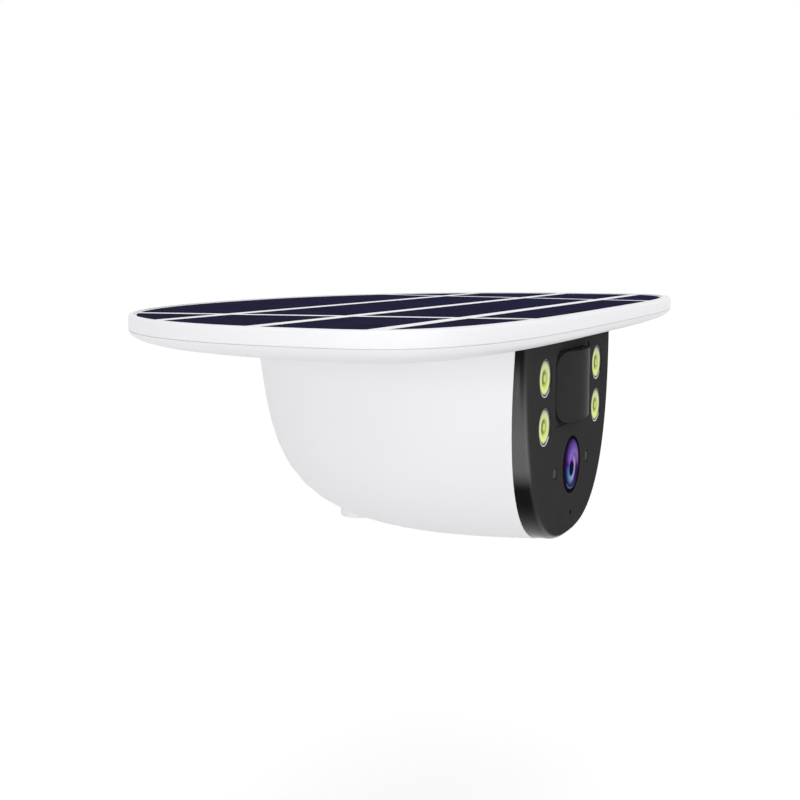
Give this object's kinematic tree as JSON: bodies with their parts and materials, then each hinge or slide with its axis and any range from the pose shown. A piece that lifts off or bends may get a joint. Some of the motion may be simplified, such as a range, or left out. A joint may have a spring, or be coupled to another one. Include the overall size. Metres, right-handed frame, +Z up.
{
  "type": "solar security camera",
  "caption": "Wire-free security camera: a level solar panel over a white bowl with a black face that holds a lens, spotlights and a motion sensor window, and a threaded bracket socket below.",
  "frame": {"origin": "centre of the mouth of the threaded bracket socket under the rear of the bowl", "axes": "+X to the right as seen from the front, +Y to the rear, so that the camera looks along -Y, and +Z up; the bracket comes in along -Z from below"},
  "size_m": [0.2846, 0.158, 0.0841],
  "materials": {
    "white_plastic": "satin moulded",
    "panel_white": "laminated sheet",
    "solar_navy": "glossy film over cells",
    "seal_rubber": "soft moulded",
    "screw_steel": "plated",
    "insert_brass": "turned",
    "black_plastic": "fine satin",
    "black_gloss": "polished",
    "sensor_window": "satin infrared window",
    "lens_coated": "coated",
    "chip_dark": "moulded",
    "board_green": "solder mask",
    "board_white": "solder mask",
    "led_clear": "clear moulded",
    "reflector_silver": "metallised",
    "emitter_yellow": "phosphor",
    "shell_steel": "stamped",
    "pipe_smoke": "smoked clear",
    "battery_wrap": "shrink sleeve",
    "tray_dark": "moulded",
    "lead_red": "insulated",
    "strip_copper": "etched",
    "button_grey": "soft moulded"
  },
  "bodies": {
    "housing": {"panel_tray": "white_plastic", "solar_board": "panel_white", "solar_cells": "solar_navy", "tray_seal": "seal_rubber", "dish_cover": "white_plastic", "cover_screws": "screw_steel", "body_shell": "white_plastic", "body_seal": "seal_rubber", "body_screws": "screw_steel", "mount_insert": "insert_brass", "port_tub": "white_plastic", "front_bezel": "black_plastic", "bezel_seal": "seal_rubber", "bezel_screws": "screw_steel", "lens_ring": "black_gloss", "lens_glass": "lens_coated", "lens_barrel": "black_plastic", "lens_holder": "black_plastic", "image_sensor": "chip_dark", "camera_board": "board_green", "board_chips": "chip_dark", "board_screws": "screw_steel", "led_lenses": "led_clear", "led_reflectors": "reflector_silver", "led_emitters": "emitter_yellow", "led_boards": "board_white", "pir_lens": "sensor_window", "pir_sensor": "shell_steel", "light_pipes": "pipe_smoke", "microphone": "shell_steel", "mic_boot": "seal_rubber", "battery_cells": "battery_wrap", "battery_tabs": "shell_steel", "battery_tray": "tray_dark", "battery_screws": "screw_steel", "power_board": "board_green", "panel_lead": "lead_red", "antenna_strip": "strip_copper", "port_board": "board_green", "charge_socket": "shell_steel", "card_socket": "shell_steel", "push_switches": "chip_dark", "door_pin": "screw_steel"},
    "port_door": {"port_door": "white_plastic", "port_seal": "seal_rubber"},
    "power_button": {"power_button": "button_grey"},
    "reset_button": {"reset_button": "button_grey"},
    "memory_card": {"memory_card": "chip_dark"}
  },
  "joints": [
    {"name": "door_hinge", "type": "hinge", "parent": "housing", "child": "port_door", "pos_m": [0, -0.0331, 0.00104], "axis": [1, 0, 0], "range_deg": [0, 90]},
    {"name": "power_press", "type": "slide", "parent": "housing", "child": "power_button", "axis": [0, 0, 1], "range_m": [0, 0.0006], "stiffness_N_per_m": 400},
    {"name": "reset_press", "type": "slide", "parent": "housing", "child": "reset_button", "axis": [0, 0, 1], "range_m": [0, 0.0004], "stiffness_N_per_m": 400},
    {"name": "card_press", "type": "slide", "parent": "housing", "child": "memory_card", "axis": [0, 0, 1], "range_m": [0, 0.0008], "stiffness_N_per_m": 300}
  ]
}
